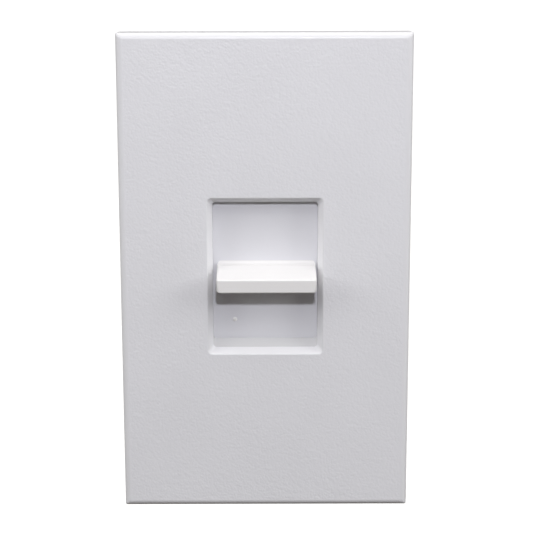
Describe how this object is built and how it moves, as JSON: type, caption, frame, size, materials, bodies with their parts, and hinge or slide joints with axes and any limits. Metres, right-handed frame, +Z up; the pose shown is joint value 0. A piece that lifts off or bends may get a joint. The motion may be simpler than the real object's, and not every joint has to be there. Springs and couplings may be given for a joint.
{
  "type": "dimmer slide switch",
  "caption": "Wall dimmer for one gang: a screwless bevelled face plate with a recessed opening where a wide slide knob and its shutter travel up and down.",
  "frame": {"origin": "on the wall plane, midway between the two box screw holes of the mounting strap", "axes": "+Z up, +X to the right when facing the plate, +Y into the wall"},
  "size_m": [0.0698, 0.044, 0.1164],
  "materials": {
    "plate_white": "fine pebble texture, matte",
    "knob_white": "smooth satin",
    "adapter_white": "moulded matte",
    "strap_aluminium": "rolled sheet, brushed",
    "plated_steel": "zinc plated",
    "green_steel": "green dyed plating",
    "housing_plastic": "moulded thermoset, matte",
    "black_plastic": "moulded matte",
    "carriage_plastic": "acetal, satin",
    "brass": "stamped sheet",
    "tinned_copper": "tinned",
    "board_laminate": "paper laminate",
    "carbon_film": "screen-printed carbon",
    "silver_film": "silver, satin",
    "spring_bronze": "rolled phosphor bronze",
    "spring_steel": "rolled strip",
    "insulating_film": "film",
    "rivet_aluminium": "satin",
    "ferrite": "coated powder core",
    "enamelled_wire": "enamel",
    "capacitor_yellow": "moulded box",
    "capacitor_blue": "dipped",
    "resistor_beige": "dipped lacquer",
    "diode_blue": "glass and lacquer"
  },
  "bodies": {
    "dimmer_body": {"face_plate": "plate_white", "adapter_frame": "adapter_white", "mounting_strap": "strap_aluminium", "adapter_screws": "plated_steel", "housing_screws": "plated_steel", "guide_rods": "plated_steel", "arm_pin": "plated_steel", "ground_screw": "green_steel", "rear_housing": "housing_plastic", "slide_base": "black_plastic", "triac_body": "black_plastic", "terminal_plates": "brass", "terminal_screws": "brass", "contact_post": "brass", "arm_bracket": "brass", "track_pins": "tinned_copper", "triac_leads": "tinned_copper", "triac_tab": "tinned_copper", "circuit_board": "board_laminate", "resistive_track": "carbon_film", "collector_track": "silver_film", "fixed_contact": "silver_film", "triac_insulator": "insulating_film", "triac_rivet": "rivet_aluminium", "choke_core": "ferrite", "choke_winding": "enamelled_wire", "filter_capacitor": "capacitor_yellow", "timing_capacitors": "capacitor_blue", "resistors": "resistor_beige", "diac": "diode_blue"},
    "slider": {"slide_knob": "knob_white", "slide_carriage": "carriage_plastic", "wiper_contact": "spring_bronze", "friction_spring": "spring_steel"},
    "contact_arm": {"air_gap_arm": "spring_bronze", "moving_contact": "silver_film"}
  },
  "joints": [
    {"name": "knob_slide", "type": "slide", "parent": "dimmer_body", "child": "slider", "axis": [0, 0, 1], "range_m": [-0.013, 0.014]},
    {"name": "contact_arm_hinge", "type": "hinge", "parent": "dimmer_body", "child": "contact_arm", "pos_m": [-0.01675, 0.005, -0.0259], "axis": [0, 1, 0], "range_deg": [-6, 0], "stiffness_Nm_per_rad": 0.01}
  ]
}
